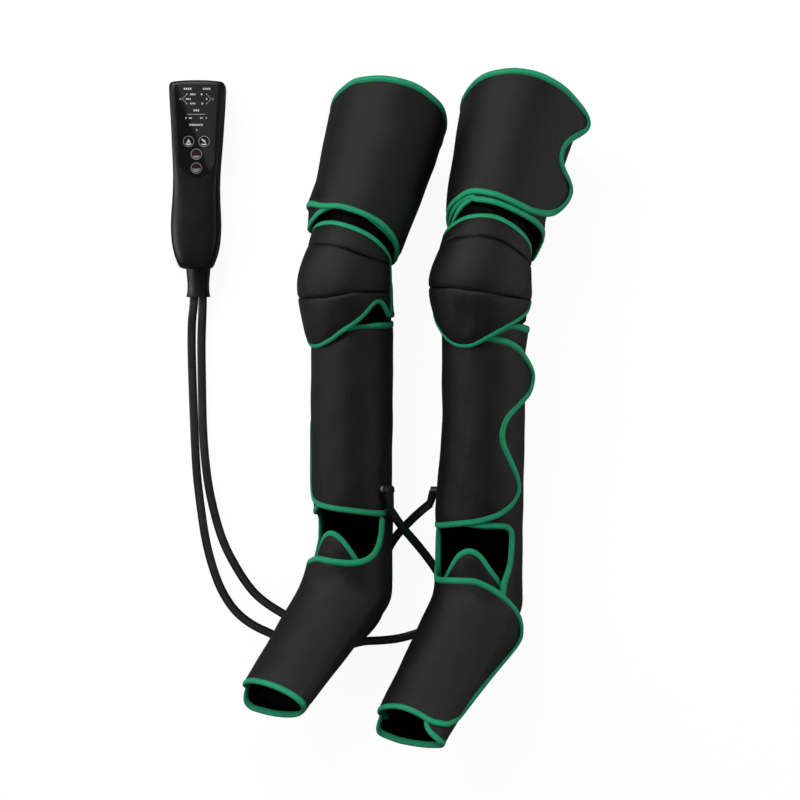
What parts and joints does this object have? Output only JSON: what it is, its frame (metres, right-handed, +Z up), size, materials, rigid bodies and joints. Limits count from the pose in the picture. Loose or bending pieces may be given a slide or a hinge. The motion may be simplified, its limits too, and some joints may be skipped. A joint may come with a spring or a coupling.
{
  "type": "air compression leg therapy set",
  "caption": "Hand controller with a built-in air pump, two air hoses and a pair of wrap-round leg compression garments with heated knee pads, laid flat.",
  "frame": {"origin": "middle of the set's footprint on the table, without the hoses and plugs", "axes": "+Y towards the thigh ends of the leg garments, +Z up from the table, +X from the controller towards the garments"},
  "size_m": [0.5138, 0.812, 0.1779],
  "materials": {
    "case_plastic": "satin",
    "panel_gloss": "gloss",
    "ring_plastic": "satin",
    "key_grey": "satin",
    "key_red": "satin",
    "board": "matte",
    "switch_black": "matte",
    "lamp": "gloss",
    "steel": "satin",
    "soft_rubber": "matte",
    "hose_rubber": "satin",
    "wrap_fabric": "matte",
    "pad_fabric": "matte",
    "binding_fabric": "matte",
    "bladder_film": "satin",
    "heater_film": "matte",
    "port_plastic": "satin"
  },
  "bodies": {
    "base": {"front_shell": "case_plastic", "rear_shell": "case_plastic", "control_panel": "panel_gloss", "button_rings": "ring_plastic", "circuit_board": "board", "tact_switches": "switch_black", "indicator_lights": "lamp", "pump_motor": "steel", "pump_head": "switch_black", "pump_diaphragm": "soft_rubber", "right_valve": "switch_black", "left_valve": "switch_black", "air_manifold": "switch_black", "air_tubes": "soft_rubber", "hose_gland": "soft_rubber", "dc_inlet": "switch_black", "case_screws": "steel", "rubber_feet": "soft_rubber", "right_thigh_sleeve": "wrap_fabric", "right_thigh_bladder": "bladder_film", "right_knee_cuff": "wrap_fabric", "right_knee_pad": "pad_fabric", "right_knee_heater": "heater_film", "right_calf_sleeve": "wrap_fabric", "right_calf_bladder": "bladder_film", "right_foot_sleeve": "wrap_fabric", "right_foot_bladder": "bladder_film", "right_air_port": "port_plastic", "right_air_plug": "port_plastic", "left_thigh_sleeve": "wrap_fabric", "left_thigh_bladder": "bladder_film", "left_knee_cuff": "wrap_fabric", "left_knee_pad": "pad_fabric", "left_knee_heater": "heater_film", "left_calf_sleeve": "wrap_fabric", "left_calf_bladder": "bladder_film", "left_foot_sleeve": "wrap_fabric", "left_foot_bladder": "bladder_film", "left_air_port": "port_plastic", "left_air_plug": "port_plastic", "right_hose": "hose_rubber", "left_hose": "hose_rubber"},
    "mode_button": {"mode_button": "key_grey"},
    "intensity_button": {"intensity_button": "key_grey"},
    "heat_button": {"heat_button": "key_grey"},
    "power_button": {"power_button": "key_red"},
    "right_valve_plunger": {"right_valve_plunger": "steel"},
    "left_valve_plunger": {"left_valve_plunger": "steel"},
    "pump_crank": {"pump_crank": "steel"},
    "right_thigh_flap": {"right_thigh_flap": "wrap_fabric"},
    "right_calf_flap": {"right_calf_flap": "wrap_fabric"},
    "right_foot_flap": {"right_foot_flap": "wrap_fabric"},
    "left_thigh_flap": {"left_thigh_flap": "wrap_fabric"},
    "left_calf_flap": {"left_calf_flap": "wrap_fabric"},
    "left_foot_flap": {"left_foot_flap": "wrap_fabric"}
  },
  "joints": [
    {"name": "mode_press", "type": "slide", "parent": "base", "child": "mode_button", "axis": [0, 0, -1], "range_m": [0, 0.0008], "stiffness_N_per_m": 400},
    {"name": "intensity_press", "type": "slide", "parent": "base", "child": "intensity_button", "axis": [0, 0, -1], "range_m": [0, 0.0008], "stiffness_N_per_m": 400},
    {"name": "heat_press", "type": "slide", "parent": "base", "child": "heat_button", "axis": [0, 0, -1], "range_m": [0, 0.0008], "stiffness_N_per_m": 400},
    {"name": "power_press", "type": "slide", "parent": "base", "child": "power_button", "axis": [0, 0, -1], "range_m": [0, 0.0008], "stiffness_N_per_m": 400},
    {"name": "right_valve_travel", "type": "slide", "parent": "base", "child": "right_valve_plunger", "axis": [0, -1, 0], "range_m": [0, 0.001], "stiffness_N_per_m": 200},
    {"name": "left_valve_travel", "type": "slide", "parent": "base", "child": "left_valve_plunger", "axis": [0, -1, 0], "range_m": [0, 0.001], "stiffness_N_per_m": 200},
    {"name": "crank_spin", "type": "hinge", "parent": "base", "child": "pump_crank", "pos_m": [-0.22223, 0.29895, 0.0175], "axis": [0, 1, 0], "continuous": true},
    {"name": "right_thigh_flap_hinge", "type": "hinge", "parent": "base", "child": "right_thigh_flap", "pos_m": [-0.00112, 0.22735, 0.14137], "axis": [0.2946, 0.9505, -0.0988], "range_deg": [0, 60]},
    {"name": "right_calf_flap_hinge", "type": "hinge", "parent": "base", "child": "right_calf_flap", "pos_m": [-0.02272, 0.07263, 0.12719], "axis": [0.0087, 0.9959, 0.09], "range_deg": [0, 60]},
    {"name": "right_foot_flap_hinge", "type": "hinge", "parent": "base", "child": "right_foot_flap", "pos_m": [-0.00312, -0.22984, 0.09339], "axis": [0.5317, 0.7311, -0.4276], "range_deg": [0, 60]},
    {"name": "left_thigh_flap_hinge", "type": "hinge", "parent": "base", "child": "left_thigh_flap", "pos_m": [0.09352, 0.24251, 0.12866], "axis": [-0.1643, -0.9715, 0.171], "range_deg": [0, 60]},
    {"name": "left_calf_flap_hinge", "type": "hinge", "parent": "base", "child": "left_calf_flap", "pos_m": [0.08567, 0.07387, 0.09535], "axis": [0, -0.9925, -0.1222], "range_deg": [0, 60]},
    {"name": "left_foot_flap_hinge", "type": "hinge", "parent": "base", "child": "left_foot_flap", "pos_m": [0.08825, -0.2356, 0.03324], "axis": [-0.3934, -0.7627, 0.5134], "range_deg": [0, 60]}
  ]
}
